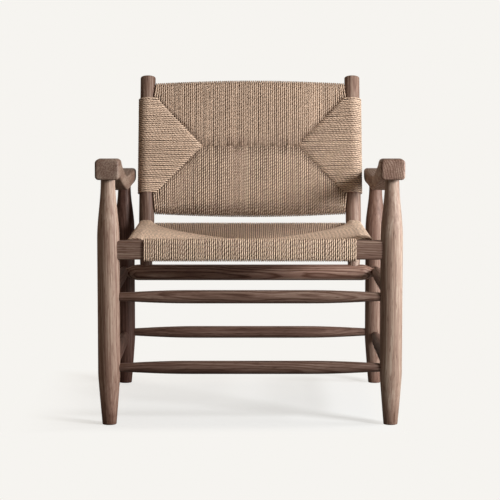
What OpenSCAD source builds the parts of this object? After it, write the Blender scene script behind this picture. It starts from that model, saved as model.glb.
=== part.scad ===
// Armchair with turned legs and stretchers, sculpted arms, and a seat and a leaning
// back woven from paper cord. Millimetres, +Z up, the front faces -Y, left is -X.
// The origin lies on the floor, under the middle of the whole chair.

/* [Legs] */
// Distance between the leg axes from side to side
leg_span = 614; // [580:1:650]
// Distance between the leg axes from front to back
leg_reach = 553; // [520:1:590]
// Diameter of a leg between its two tapers
leg_d = 48.4; // [47:0.2:52]
// Diameter of a leg at the floor
foot_d = 31; // [26:0.5:40]
// Height over which the foot tapers
foot_taper = 112; // [80:1:115]
// Curvature of the foot's taper, where 1 is straight
foot_curve = 1.12; // [1:0.02:1.3]
// Rounding of the foot's lower edge
foot_edge = 2; // [1:0.5:4]
// Diameter of a leg where it meets the arm
neck_d = 31; // [29:0.5:34]
// Length of the neck taper on a front leg
front_neck = 129; // [100:1:130]
// Length of the neck taper on a rear leg
rear_neck = 102; // [90:1:110]
// Straight length of a neck just below the arm
neck_land = 3; // [1:0.5:6]
// Diameter of the tenon on top of a leg
leg_tenon_d = 22; // [18:0.5:24]
// Length of the tenon on top of a leg
leg_tenon = 22; // [14:0.5:24]

/* [Arms] */
// Height of an arm's top at the front
arm_height = 579.5; // [560:0.5:600]
// Thickness of an arm at the front
arm_front_t = 44; // [42:0.5:54]
// Fall of an arm's top from the front to the dip
arm_dip = 58; // [40:1:62]
// Rise of an arm's top from the dip to the rear end
arm_rise = 5.5; // [0:0.5:10]
// Fall of an arm's underside from front to rear
arm_under_fall = 51.5; // [46:0.5:56]
// Distance behind the front leg axis where the top begins to fall
arm_flat = 12; // [0:1:40]
// Distance behind the front leg axis where the top reaches the dip
arm_dip_end = 370; // [300:1:400]
// Distance behind the front leg axis where the underside levels out
arm_under_end = 440; // [410:1:480]
// Width of an arm at the front
arm_front_w = 52; // [46:0.5:60]
// Width of an arm at the dip
arm_mid_w = 42; // [36:0.5:48]
// Width of an arm at the rear
arm_rear_w = 54; // [50:0.5:66]
// Distance behind the front leg axis where an arm is down to its middle width
arm_waist_at = 165; // [120:1:200]
// Distance ahead of the rear leg axis where an arm begins to widen
arm_flare_in = 220; // [180:1:250]
// Distance ahead of the rear leg axis where an arm has its full rear width
arm_flare_full = 50; // [20:1:80]
// Rounding of an arm's upper edges at both ends
arm_edge_top = 8; // [6:0.5:10]
// Rounding of an arm's lower edges at the front
arm_edge_low = 8; // [6:0.5:10]
// Amount by which the edges get crisper along the waist
arm_crisp = 4; // [0:0.5:4]
// Further rounding that the lower edges gain at the rear
arm_keel = 14; // [8:0.5:15]
// Overhang of an arm ahead of the front leg axis
arm_front_over = 33; // [28:0.5:45]
// Overhang of an arm behind the rear leg axis
arm_rear_over = 35; // [30:0.5:45]
// Rounding of an arm's end faces
arm_end_round = 5; // [2:0.5:6]
// Depth to which a leg's neck is let into the arm
neck_housing = 5; // [2:0.5:8]

/* [Stretchers] */
// Height of the upper stretcher between the front legs
front_upper_h = 280; // [268:1:296]
// Height of the lower stretcher between the front legs
front_lower_h = 125; // [118:1:150]
// Height of the stretcher between the rear legs
rear_lower_h = 125; // [118:1:150]
// Height of the upper stretchers between a front and a rear leg
side_upper_h = 281; // [268:1:296]
// Height of the lower stretchers between a front and a rear leg
side_lower_h = 120; // [118:1:150]
// Diameter of a stretcher in its middle
stretcher_d = 29; // [26:0.5:34]
// Diameter of a stretcher where it enters a leg
stretcher_end_d = 18.5; // [16:0.5:21]
// Length over which a stretcher swells from its end to its full diameter
stretcher_swell = 150; // [100:1:170]

/* [Seat frame] */
// Height of the top of the front seat rail
seat_h = 403; // [392:1:405]
// Height of the front rail's section
front_rail_h = 41; // [36:0.5:46]
// Thickness of the front rail from front to back
front_rail_t = 28; // [26:0.5:34]
// Rounding of the front rail's long edges
front_rail_round = 5; // [2:0.5:7]
// Rounding of the front rail's shoulders beside the legs
shoulder_round = 7; // [3:0.5:10]
// Reach of the front rail's rounded shoulders past the legs' faces
shoulder_reach = 3; // [2:0.5:6]
// Height of the front rail's tenon
rail_tenon_h = 28; // [20:0.5:30]
// Thickness of the front rail's tenon
rail_tenon_t = 14; // [10:0.5:18]
// Length of the front rail's tenon inside the leg
rail_tenon = 26; // [16:0.5:32]
// Height of a side seat rail's section
side_rail_h = 34; // [30:0.5:38]
// Width of a side seat rail
side_rail_w = 26; // [22:0.5:30]
// Rounding of a side seat rail's long edges
side_rail_round = 6; // [4:0.5:12]
// Drop of the side rails' axis below the front rail's top
side_rail_drop = 17; // [13:0.5:20]
// Drop of the rear rail's axis below the front rail's top
rear_rail_drop = 23; // [20:0.5:25]
// Diameter of the rear seat rail
rear_rail_d = 30; // [26:0.5:34]
// Length over which the rear rail swells from its ends
rear_rail_swell = 25; // [15:1:60]
// Diameter of the round tenons on the seat rails
seat_tenon_d = 12; // [10:0.5:14]
// Length of the round tenons on the seat rails
seat_tenon = 11; // [8:0.5:11]

/* [Back frame] */
// Distance of the back posts' axes inside the leg axes
post_in = 56; // [48:1:65]
// Lean of the back from upright in degrees
back_lean = 17; // [15:0.5:19]
// Height of the middle of the posts' tops
post_top_h = 749.5; // [700:0.5:800]
// Diameter of a back post
post_d = 37; // [34:0.5:38]
// Diameter of a back post at its foot
post_foot_d = 29; // [26:0.5:33]
// Length over which a post swells from its foot
post_swell = 110; // [100:1:150]
// Rounding of a post's top edge
post_edge = 4; // [2:0.5:8]
// Diameter of the tenon at a post's foot
post_tenon_d = 18; // [14:0.5:22]
// Length of the tenon at a post's foot
post_tenon = 16; // [12:0.5:18]
// Distance of the cross rail ahead of the rear leg axis
cross_rail_in = 76; // [70:1:90]
// Diameter of the cross rail that carries the posts
cross_rail_d = 38; // [36:0.5:44]
// Diameter of the cross rail at its shoulders
cross_rail_end_d = 21; // [18:0.5:24]
// Length over which the cross rail swells from its shoulders
cross_rail_swell = 26; // [15:0.5:40]
// Diameter of the cross rail's tenons
cross_tenon_d = 13; // [10:0.5:14]
// Distance along the lean from the rear seat rail up to the lower back rail
low_rail_up = 52.5; // [45:0.5:60]
// Distance along the lean from the posts' tops down to the upper back rail
high_rail_down = 28.8; // [24:0.2:60]
// Diameter of a back rail in its middle
back_rail_d = 30; // [26:0.5:32]
// Diameter of a back rail where it enters a post
back_rail_end_d = 16; // [14:0.5:19]
// Length over which a back rail swells from its end
back_rail_swell = 230; // [100:1:233]
// Length of the round tenons on the back rails
back_tenon = 12; // [8:0.5:13]

/* [Weave] */
// Diameter of the paper cord
cord_d = 4; // [3.5:0.1:4.6]
// Play between the woven cord and the wood
weave_gap = 0.3; // [0.2:0.05:0.5]
// Space left beside a corner where two wraps meet
corner_space = 3.5; // [2:0.5:6]
// Slit between a post and the cord round the back rails
post_slit = 1; // [0.5:0.5:1.5]
// Height of the seat's upper face at its centre, below the front rail's top
seat_sag = 27.5; // [18:0.5:30]
// Thickness of the seat weave at its centre
seat_core = 11; // [9:0.5:14]
// Thickness of the back weave at its centre
back_core = 16; // [10:0.5:24]
// Distance from a rail in which the weave loses half of its fullness
weave_pull = 18; // [12:1:40]
// Distance of the post wraps' lower ends from the lower back rail's axis
post_wrap_low = 39; // [24:0.5:45]
// Distance of the post wraps' upper ends from the upper back rail's axis
post_wrap_high = 24; // [22:0.5:30]

/* [Fits] */
// Play around a glued tenon
glue_play = 0.15; // [0.05:0.05:0.3]
// Room beyond the end of a tenon
end_room = 0.5; // [0.3:0.1:1]

/* [Hidden] */
wood = [0.40, 0.31, 0.27];
cord = [0.76, 0.65, 0.53];
// Facets of a round cut or bar, and steps along a swell, a rounded corner or a leg's taper
round_fn = 72;
bar_steps = 12;
corner_steps = 5;
leg_steps = 14;
// Reach of a cut past the face that it opens
over = 1;
leg_r = leg_d / 2;
neck_r = neck_d / 2;
post_r = post_d / 2;
leg_x = leg_span / 2;
post_x = leg_x - post_in;
// Depth of a stretcher's end in its leg: it stops short of the end that crosses it
leg_bite = leg_r - stretcher_end_d / 2 - glue_play - 2 * end_room;
// Length of a post from the cross rail's axis to its top
post_len = (post_top_h - side_upper_h) / cos(back_lean);
// Rearmost point of the posts, measured back from the front leg axis
rear_edge = leg_reach - cross_rail_in + (post_len - post_edge) * sin(back_lean)
            + (post_r - post_edge) * cos(back_lean) + post_edge;
// The front legs' place puts the origin halfway between the arms' front and the posts' rear
front_y = -(rear_edge - arm_front_over) / 2;
rear_y = front_y + leg_reach;
cross_y = rear_y - cross_rail_in;
side_rail_z = seat_h - side_rail_drop;
rear_rail_z = seat_h - rear_rail_drop;
// Distance along the lean from the cross rail to a given height
function lean_at(z) = (z - side_upper_h) / cos(back_lean);
function lean_y(z) = cross_y + (z - side_upper_h) * tan(back_lean);
rear_rail_at = lean_at(rear_rail_z);
low_rail_at = rear_rail_at + low_rail_up;
high_rail_at = post_len - high_rail_down;
rear_rail_y = lean_y(rear_rail_z);
arm_front_under = arm_height - arm_front_t;
arm_rear_under = arm_front_under - arm_under_fall;

// Blends between 0 and 1 with level ends
function ease(t) = t <= 0 ? 0 : t >= 1 ? 1 : t * t * (3 - 2 * t);
function mix(a, b, t) = a + (b - a) * t;
// Points of a quarter circle of radius r about [cx, cy] from angle a
function quarter(cx, cy, r, a) =
    [for (i = [0:corner_steps]) let (t = a + 90 * i / corner_steps) [cx + r * cos(t), cy + r * sin(t)]];

// Lay the children's Z axis along X, along Y, or up the back's lean from the cross rail's axis
module along_x() { rotate([0, 90, 0]) children(); }
module along_y() { rotate([-90, 0, 0]) children(); }
module on_back() {
    translate([0, cross_y, side_upper_h]) rotate([-back_lean, 0, 0]) children();
}

// A bore with its mouth at the origin, running down the Z axis
module bore(d, depth) {
    translate([0, 0, -depth]) cylinder(d = d + 2 * glue_play, h = depth + leg_d, $fn = round_fn);
}

// ---- Turned pieces ----

// A bar on the Z axis, length long between its shoulders, that swells from end_d to mid_d
// over swell, with a tenon of tenon_d at both ends
function swell_r(d, end_d, mid_d, swell) = mix(end_d, mid_d, sin(90 * min(1, d / swell))) / 2;
module swelled_bar(length, mid_d, end_d, swell, tenon_d, tenon) {
    run = min(swell, length / 2);
    tip = length / 2 + tenon;
    rise = [for (i = [0:bar_steps])
        let (d = run * i / bar_steps) [swell_r(d, end_d, mid_d, run), d - length / 2]];
    fall = [for (i = [bar_steps:-1:0]) [rise[i][0], -rise[i][1]]];
    rotate_extrude($fn = round_fn)
        polygon(concat([[0, -tip], [tenon_d / 2, -tip], [tenon_d / 2, -length / 2]], rise, fall,
                       [[tenon_d / 2, length / 2], [tenon_d / 2, tip], [0, tip]]));
}

// A stretcher whose ends of full end diameter go straight into the legs
module stretcher(span, play = 0) {
    swelled_bar(span - leg_d, stretcher_d + 2 * play, stretcher_end_d + 2 * play, stretcher_swell,
                stretcher_end_d + 2 * play, leg_bite);
}

// ---- Legs ----

// Half outline of a leg whose arm has its underside at under: rounded foot, foot taper, neck
// taper of length neck, and tenon
function leg_outline(under, neck) =
    let (foot_r = foot_d / 2, shoulder = under + neck_housing)
    concat([[0, 0]],
           quarter(foot_r - foot_edge, foot_edge, foot_edge, -90),
           [for (i = [1:leg_steps]) [leg_r - (leg_r - foot_r) * pow(1 - i / leg_steps, foot_curve),
                                     mix(foot_edge, foot_taper, i / leg_steps)]],
           [for (i = [0:leg_steps]) [mix(leg_r, neck_r, ease(i / leg_steps)),
                                     mix(under - neck, under - neck_land, i / leg_steps)]],
           [[neck_r, shoulder], [leg_tenon_d / 2, shoulder],
            [leg_tenon_d / 2, shoulder + leg_tenon], [0, shoulder + leg_tenon]]);

// A leg on its own axis; side is the sign of X of the leg, and ways says which way the side
// stretchers leave it, 1 to the back and -1 to the front
module leg(under, neck, side, ways, cross_heights) {
    difference() {
        rotate_extrude($fn = round_fn) polygon(leg_outline(under, neck));
        for (h = cross_heights)
            translate([-side * leg_r, 0, h]) rotate([0, -side * 90, 0])
                bore(stretcher_end_d, leg_bite + end_room);
        for (h = [side_lower_h, side_upper_h])
            translate([0, ways * leg_r, h]) rotate([-ways * 90, 0, 0])
                bore(stretcher_end_d, leg_bite + end_room);
    }
}

module front_leg(side) {
    color(wood) translate([side * leg_x, front_y, 0]) difference() {
        leg(arm_front_under, front_neck, side, 1, [front_lower_h, front_upper_h]);
        // Mortise for the front seat rail
        translate([-side * (leg_r + over), 0, front_rail_z])
            cube([2 * (rail_tenon + end_room + over), rail_tenon_t + 2 * glue_play,
                  rail_tenon_h + 2 * glue_play], center = true);
    }
}

module rear_leg(side) {
    color(wood) translate([side * leg_x, rear_y, 0])
        leg(arm_rear_under, rear_neck, side, -1, [rear_lower_h]);
}

module leg_front_left() { front_leg(-1); }
module leg_front_right() { front_leg(1); }
module leg_rear_left() { rear_leg(-1); }
module leg_rear_right() { rear_leg(1); }

// ---- Arms ----

// Share of the way, at distance d behind the front leg axis, to the waist and to the rear end
arm_end = leg_reach + arm_rear_over;
function waist(d) = ease((d - leg_r) / (arm_waist_at - leg_r));
function flare(d) = ease((d - leg_reach + arm_flare_in) / (arm_flare_in - arm_flare_full));
// Top, underside and half width of an arm at distance d
function arm_top(d) = arm_height - arm_dip * ease((d - arm_flat) / (arm_dip_end - arm_flat))
                      + arm_rise * ease((d - arm_dip_end) / (arm_end - arm_dip_end));
function arm_under(d) = arm_front_under - arm_under_fall * ease(d / arm_under_end);
function arm_half(d) = mix(arm_front_w, arm_mid_w, waist(d)) / 2 + (arm_rear_w - arm_mid_w) * flare(d) / 2;
// Corner radii above and below, crisp along the waist and fullest under the rear end
function arm_round_top(d) = arm_edge_top - arm_crisp * (waist(d) - flare(d));
function arm_round_low(d) = arm_edge_low - arm_crisp * (waist(d) - flare(d)) + arm_keel * flare(d);

// Closed outline of an arm's section at distance d, drawn in by inset at the end faces
function arm_ring(d, inset) =
    let (w = arm_half(d) - inset, t = arm_top(d) - inset, u = arm_under(d) + inset,
         a = max(arm_round_top(d) - inset, 1), b = max(arm_round_low(d) - inset, 1))
    [for (p = concat(quarter(w - a, t - a, a, 0), quarter(-w + a, t - a, a, 90),
                     quarter(-w + b, u + b, b, 180), quarter(w - b, u + b, b, 270)))
        [p[0], 0, p[1]]];

// Stations along the arm as [distance, inset]: a rounded end, the length, a rounded end
arm_long_steps = 36;
arm_nose = [for (p = quarter(arm_end_round, arm_end_round, arm_end_round, 180)) p];
arm_path = concat(
    [for (p = arm_nose) [p[0] - arm_front_over, p[1]]],
    [for (i = [1:arm_long_steps - 1])
        [mix(arm_end_round - arm_front_over, arm_end - arm_end_round, i / arm_long_steps), 0]],
    [for (i = [corner_steps:-1:0]) [arm_end - arm_nose[i][0], arm_nose[i][1]]]);

module arm_body() {
    rings = [for (s = arm_path) [for (p = arm_ring(s[0], s[1])) p + [0, s[0], 0]]];
    n = len(rings[0]);
    last = len(rings) - 1;
    polyhedron(
        points = [for (ring = rings) each ring],
        faces = concat([[for (j = [0:n - 1]) j]],
                       [for (k = [0:last - 1], j = [0:n - 1]) each
                           [[k * n + j, (k + 1) * n + j, k * n + (j + 1) % n],
                            [k * n + (j + 1) % n, (k + 1) * n + j, (k + 1) * n + (j + 1) % n]]],
                       [[for (j = [n - 1:-1:0]) last * n + j]]),
        convexity = 6);
}

module arm(side) {
    color(wood) translate([side * leg_x, front_y, 0]) difference() {
        arm_body();
        for (m = [[0, arm_front_under], [leg_reach, arm_rear_under]])
            translate([0, m[0], m[1] + neck_housing]) {
                translate([0, 0, -leg_d]) cylinder(r = neck_r + glue_play, h = leg_d, $fn = round_fn);
                translate([0, 0, -over])
                    cylinder(r = leg_tenon_d / 2 + glue_play, h = leg_tenon + end_room + over,
                             $fn = round_fn);
            }
    }
}
module arm_left() { arm(-1); }
module arm_right() { arm(1); }

// ---- Stretchers ----

module cross_stretcher(y, h) { color(wood) translate([0, y, h]) along_x() stretcher(leg_span); }
module front_upper_stretcher() { cross_stretcher(front_y, front_upper_h); }
module front_lower_stretcher() { cross_stretcher(front_y, front_lower_h); }
module rear_lower_stretcher() { cross_stretcher(rear_y, rear_lower_h); }
module side_stretcher(side, h, play = 0) {
    translate([side * leg_x, front_y + leg_reach / 2, h]) along_y() stretcher(leg_reach, play);
}
// The upper side stretchers also take the cross rail's tenons
module side_upper_stretcher(side) {
    color(wood) difference() {
        side_stretcher(side, side_upper_h);
        translate([side * (leg_x - cross_shoulder_in), cross_y, side_upper_h]) rotate([0, -side * 90, 0])
            bore(cross_tenon_d, cross_shoulder_in + end_room);
    }
}
module side_upper_stretcher_left() { side_upper_stretcher(-1); }
module side_upper_stretcher_right() { side_upper_stretcher(1); }
module side_lower_stretcher_left() { color(wood) side_stretcher(-1, side_lower_h); }
module side_lower_stretcher_right() { color(wood) side_stretcher(1, side_lower_h); }

// ---- Seat frame ----

// A rectangle with true round corners
module soft_rect(w, h, r) {
    square([w - 2 * r, h], center = true);
    square([w, h - 2 * r], center = true);
    for (x = [-1, 1], y = [-1, 1])
        translate([x * (w / 2 - r), y * (h / 2 - r)]) circle(r = r, $fn = round_fn);
}

// The front rail's section grown by extra, along X; the cord wraps it and the legs end it
module front_rail_bar(length, extra) {
    along_x() linear_extrude(height = length, center = true)
        soft_rect(front_rail_h + 2 * extra, front_rail_t + 2 * extra, front_rail_round + extra);
}

// Height of the front rail's axis, and half its length at its shoulders
front_rail_z = seat_h - front_rail_h / 2;
shoulder_x = leg_x - sqrt(leg_r * leg_r - front_rail_t * front_rail_t / 4) + shoulder_reach;
module front_seat_rail() {
    color(wood) translate([0, front_y, front_rail_z]) difference() {
        union() {
            difference() {
                intersection() {
                    front_rail_bar(leg_span, 0);
                    rotate([90, 0, 0]) linear_extrude(height = 2 * front_rail_t, center = true)
                        soft_rect(2 * shoulder_x, front_rail_h, shoulder_round);
                }
                // The shoulders are coped to the legs
                for (side = [-1, 1]) translate([side * leg_x, 0, 0])
                    cylinder(r = leg_r + glue_play, h = 2 * front_rail_h, center = true, $fn = round_fn);
            }
            cube([2 * (leg_x - leg_r + rail_tenon), rail_tenon_t, rail_tenon_h], center = true);
        }
        for (side = [-1, 1])
            translate([side * post_x, front_rail_t / 2, side_rail_z - front_rail_z]) rotate([-90, 0, 0])
                bore(seat_tenon_d, seat_tenon + end_room);
    }
}

// A side rail's section grown by extra, from start to end along Y
module side_rail_bar(side, start, end, extra) {
    translate([side * post_x, start, side_rail_z]) rotate([-90, 0, 0]) linear_extrude(height = end - start)
        soft_rect(side_rail_w + 2 * extra, side_rail_h + 2 * extra, side_rail_round + extra);
}

// A post's own space, widened by play
module post_space(side, play) {
    on_back() translate([side * post_x, 0, 0]) cylinder(r = post_r + play, h = post_len, $fn = round_fn);
}

// Where the side rails start, and where they meet the posts' fronts
side_rail_y = front_y + front_rail_t / 2;
post_face_y = lean_y(side_rail_z) - post_r / cos(back_lean);
module side_seat_rail(side) {
    color(wood) {
        difference() {
            side_rail_bar(side, side_rail_y, lean_y(side_rail_z), 0);
            // The rear end is coped to the leaning post
            post_space(side, glue_play);
        }
        translate([side * post_x, side_rail_y - seat_tenon, side_rail_z]) along_y()
            cylinder(d = seat_tenon_d, h = post_face_y - side_rail_y + 2 * seat_tenon, $fn = round_fn);
    }
}
module side_seat_rail_left() { side_seat_rail(-1); }
module side_seat_rail_right() { side_seat_rail(1); }

// The rear seat rail runs between the posts, with its ends drawn in to its tenons
rail_between = 2 * post_x - post_d;
module rear_rail_bar(extra) {
    on_back() translate([0, 0, rear_rail_at]) along_x()
        swelled_bar(rail_between, rear_rail_d + 2 * extra, seat_tenon_d + 2 * extra, rear_rail_swell,
                    seat_tenon_d, seat_tenon);
}
module rear_seat_rail() { color(wood) rear_rail_bar(0); }

// ---- Back frame ----

// Half thickness of a side stretcher where the cross rail meets it. The cross rail's shoulders
// lie that far inside the leg axes, and its tenons reach the stretchers' own axes.
cross_shoulder_in = swell_r(cross_rail_in - leg_r, stretcher_end_d, stretcher_d, stretcher_swell);
module cross_rail() {
    color(wood) difference() {
        union() {
            // The shoulders are coped to the side stretchers
            difference() {
                translate([0, cross_y, side_upper_h]) along_x()
                    swelled_bar(leg_span - 2 * cross_shoulder_in, cross_rail_d, cross_rail_end_d,
                                cross_rail_swell, cross_rail_end_d, cross_shoulder_in / 2);
                for (side = [-1, 1])
                    side_stretcher(side, side_upper_h, glue_play);
            }
            translate([0, cross_y, side_upper_h]) along_x()
                cylinder(d = cross_tenon_d, h = leg_span, center = true, $fn = round_fn);
        }
        for (side = [-1, 1]) on_back() translate([side * post_x, 0, cross_rail_d / 2])
            bore(post_tenon_d, post_tenon + end_room);
    }
}

// Half outline of a post: foot, swell and rounded top
post_outline = concat(
    [[0, 0], [post_foot_d / 2, 0]],
    [for (i = [0:bar_steps]) [swell_r(post_swell * i / bar_steps, post_foot_d, post_d, post_swell),
                              cross_rail_d / 2 + post_swell * i / bar_steps]],
    quarter(post_r - post_edge, post_len - post_edge, post_edge, 0),
    [[0, post_len]]);

// A post stands on the cross rail along the lean; the seat and back rails enter it
module back_post(side) {
    color(wood) difference() {
        on_back() translate([side * post_x, 0, 0]) {
            difference() {
                rotate_extrude($fn = round_fn) polygon(post_outline);
                // Saddle that seats the post's shoulder on the cross rail
                along_x()
                    cylinder(r = cross_rail_d / 2 + glue_play, h = 2 * post_d, center = true,
                             $fn = round_fn);
                for (m = [[rear_rail_at, seat_tenon_d, seat_tenon],
                          [low_rail_at, back_rail_end_d, back_tenon],
                          [high_rail_at, back_rail_end_d, back_tenon]])
                    translate([-side * post_r, 0, m[0]]) rotate([0, -side * 90, 0])
                        bore(m[1], m[2] + end_room);
            }
            translate([0, 0, cross_rail_d / 2 - post_tenon])
                cylinder(d = post_tenon_d, h = 2 * post_tenon, $fn = round_fn);
        }
        // Level bore for the side seat rail
        translate([side * post_x, post_face_y, side_rail_z]) rotate([90, 0, 0])
            bore(seat_tenon_d, seat_tenon + end_room);
    }
}
module back_post_left() { back_post(-1); }
module back_post_right() { back_post(1); }

// A back rail, at a distance along the lean, grown by extra for the cord that wraps it
module back_rail_bar(at, extra) {
    on_back() translate([0, 0, at]) along_x()
        swelled_bar(rail_between, back_rail_d + 2 * extra, back_rail_end_d + 2 * extra, back_rail_swell,
                    back_rail_end_d + 2 * extra, extra == 0 ? back_tenon : 0);
}
module low_back_rail() { color(wood) back_rail_bar(low_rail_at, 0); }
module high_back_rail() { color(wood) back_rail_bar(high_rail_at, 0); }

// ---- Weave ----

// Thickness that the cord adds to what it wraps, and how far a wrap reaches from the middle
wrap_t = weave_gap + cord_d;
wrap_x = post_x - side_rail_w / 2 - wrap_t - corner_space;
// Height of a woven face. Each cord runs straight from its rail, at height rail, to the
// diagonal. near is the distance from that rail, and far the distance from the corner.
function woven(near, far, rail, middle) =
    rail + (middle + (rail - middle) / (1 + far / weave_pull) - rail) * near / max(far, 1);

// A closed panel of cols by rows cells between an upper and a lower list of points
module panel(upper, lower, cols, rows) {
    function at(i, j) = i * (rows + 1) + j;
    count = (cols + 1) * (rows + 1);
    cells = [for (i = [0:cols - 1], j = [0:rows - 1])
        [at(i, j), at(i + 1, j), at(i + 1, j + 1), at(i, j + 1)]];
    rim = concat([for (i = [0:cols - 1]) [at(i, 0), at(i + 1, 0)]],
                 [for (j = [0:rows - 1]) [at(cols, j), at(cols, j + 1)]],
                 [for (i = [cols:-1:1]) [at(i, rows), at(i - 1, rows)]],
                 [for (j = [rows:-1:1]) [at(0, j), at(0, j - 1)]]);
    top = [for (c = cells) each [[c[0], c[2], c[1]], [c[0], c[3], c[2]]]];
    bottom = [for (c = cells) each [[count + c[0], count + c[1], count + c[2]],
                                    [count + c[0], count + c[2], count + c[3]]]];
    edge = [for (e = rim) each [[e[0], e[1], count + e[1]], [e[0], count + e[1], count + e[0]]]];
    polyhedron(points = concat(upper, lower), faces = concat(top, bottom, edge), convexity = 4);
}

// Seat panel between the rails: its upper face sags, and its underside is nearly flat
seat_steps = 16;
seat_panel_x = post_x - side_rail_w / 2 - weave_gap - cord_d / 2;
seat_panel_front = front_y + front_rail_t / 2 + weave_gap + cord_d / 2;
seat_panel_rear = rear_rail_y - rear_rail_d / 2 - weave_gap - cord_d / 2;
seat_mid = seat_h - seat_sag;
// Height at [x, y]; sides, front and rear are the heights where the cord leaves the rails
function seat_z(x, y, sides, front, rear, middle) =
    let (from_side = seat_panel_x - abs(x),
         from_front = y - seat_panel_front,
         from_rear = seat_panel_rear - y,
         from_end = min(from_front, from_rear),
         rail = from_side < from_end ? sides : from_front < from_rear ? front : rear)
    woven(min(from_side, from_end), max(from_side, from_end), rail, middle);
function seat_face(sides, front, rear, middle) =
    [for (i = [0:seat_steps], j = [0:seat_steps])
        let (x = mix(-seat_panel_x, seat_panel_x, i / seat_steps),
             y = mix(seat_panel_front, seat_panel_rear, j / seat_steps))
        [x, y, seat_z(x, y, sides, front, rear, middle)]];

// The side wraps stop short of the leaning posts
side_wrap_end = lean_y(side_rail_z - side_rail_h / 2 - wrap_t) - post_r / cos(back_lean) - weave_gap;
module seat_weave() {
    color(cord) difference() {
        union() {
            panel(seat_face(side_rail_z + side_rail_h / 2 + wrap_t, seat_h + wrap_t,
                            rear_rail_z + rear_rail_d / 2 + wrap_t, seat_mid),
                  seat_face(side_rail_z - side_rail_h / 2 - wrap_t, seat_h - front_rail_h - wrap_t,
                            rear_rail_z - rear_rail_d / 2 - wrap_t, seat_mid - seat_core),
                  seat_steps, seat_steps);
            translate([0, front_y, front_rail_z]) front_rail_bar(2 * wrap_x, wrap_t);
            for (side = [-1, 1])
                side_rail_bar(side, side_rail_y + wrap_t + corner_space, side_wrap_end, wrap_t);
            on_back() translate([0, 0, rear_rail_at]) along_x()
                cylinder(d = rear_rail_d + 2 * wrap_t, h = 2 * wrap_x, center = true, $fn = round_fn);
        }
        translate([0, front_y, front_rail_z]) front_rail_bar(leg_span, weave_gap);
        for (side = [-1, 1]) {
            side_rail_bar(side, side_rail_y, lean_y(side_rail_z), weave_gap);
            post_space(side, weave_gap);
        }
        rear_rail_bar(weave_gap);
    }
}

// Back panel between the rails and the posts, alike in front and behind
back_cols = 24;
back_rows = 14;
back_panel_x = post_x - post_r - weave_gap - cord_d / 2;
back_edge_in = back_rail_end_d / 2 + weave_gap + cord_d / 2;
back_panel_low = low_rail_at + back_edge_in;
back_panel_high = high_rail_at - back_edge_in;
function back_face(way) =
    [for (i = [0:back_cols], j = [0:back_rows])
        let (x = mix(-back_panel_x, back_panel_x, i / back_cols),
             v = mix(back_panel_low, back_panel_high, j / back_rows),
             from_side = back_panel_x - abs(x),
             from_end = min(v - back_panel_low, back_panel_high - v),
             rail_r = from_side < from_end ? post_r
                      : swell_r(from_side, back_rail_end_d, back_rail_d, back_rail_swell),
             near = min(from_side, from_end), far = max(from_side, from_end))
        [x, -way * woven(near, far, rail_r + wrap_t, back_core / 2), v]];

post_wrap = high_rail_at - low_rail_at - post_wrap_low - post_wrap_high;
module back_weave() {
    color(cord) difference() {
        union() {
            on_back() panel(back_face(1), back_face(-1), back_cols, back_rows);
            intersection() {
                for (at = [low_rail_at, high_rail_at])
                    back_rail_bar(at, wrap_t);
                // The rail wraps end just inside the posts
                on_back()
                    cube([2 * (post_x - post_r - post_slit), 4 * post_d, 3 * post_len], center = true);
            }
            for (side = [-1, 1])
                on_back() translate([side * post_x, 0, low_rail_at + post_wrap_low])
                    cylinder(r = post_r + wrap_t, h = post_wrap, $fn = round_fn);
        }
        for (at = [low_rail_at, high_rail_at])
            back_rail_bar(at, weave_gap);
        for (side = [-1, 1])
            post_space(side, weave_gap);
    }
}

leg_front_left();
leg_front_right();
leg_rear_left();
leg_rear_right();
arm_left();
arm_right();
front_upper_stretcher();
front_lower_stretcher();
rear_lower_stretcher();
side_upper_stretcher_left();
side_upper_stretcher_right();
side_lower_stretcher_left();
side_lower_stretcher_right();
front_seat_rail();
side_seat_rail_left();
side_seat_rail_right();
rear_seat_rail();
cross_rail();
back_post_left();
back_post_right();
low_back_rail();
high_back_rail();
seat_weave();
back_weave();
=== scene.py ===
# Armchair in dark oiled walnut, with turned legs and stretchers, sculpted arms, and a seat and a
# leaning back woven from paper cord. Metres, +Z up; the front faces -Y and left is -X.
import math

import bpy
import numpy as np
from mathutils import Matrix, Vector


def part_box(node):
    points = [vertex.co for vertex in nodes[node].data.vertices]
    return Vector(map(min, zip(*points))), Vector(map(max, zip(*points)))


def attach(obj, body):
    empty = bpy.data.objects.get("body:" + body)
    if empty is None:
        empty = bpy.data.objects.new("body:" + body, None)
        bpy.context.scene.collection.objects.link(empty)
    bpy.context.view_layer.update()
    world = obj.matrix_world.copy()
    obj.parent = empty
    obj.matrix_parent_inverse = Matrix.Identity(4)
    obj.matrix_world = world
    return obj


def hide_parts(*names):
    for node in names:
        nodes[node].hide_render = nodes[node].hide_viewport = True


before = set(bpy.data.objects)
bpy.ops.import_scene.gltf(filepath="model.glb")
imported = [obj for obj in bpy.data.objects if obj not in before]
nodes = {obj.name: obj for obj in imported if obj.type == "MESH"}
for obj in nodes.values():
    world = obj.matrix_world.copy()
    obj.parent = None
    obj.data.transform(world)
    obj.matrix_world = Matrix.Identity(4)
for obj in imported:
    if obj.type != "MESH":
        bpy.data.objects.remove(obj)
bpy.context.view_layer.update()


# ---- Camera ----
# A long lens, a little higher than the chair's back, looks straight at the chair's front and
# slightly down on it.
front_leg_low, front_leg_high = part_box("leg_front_left")
front_y = (front_leg_low.y + front_leg_high.y) / 2
camera_ahead = 4.206
camera_height = 0.796
camera_tilt = math.radians(5.62)
lens_mm = 140.4
film_mm = 36

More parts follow.
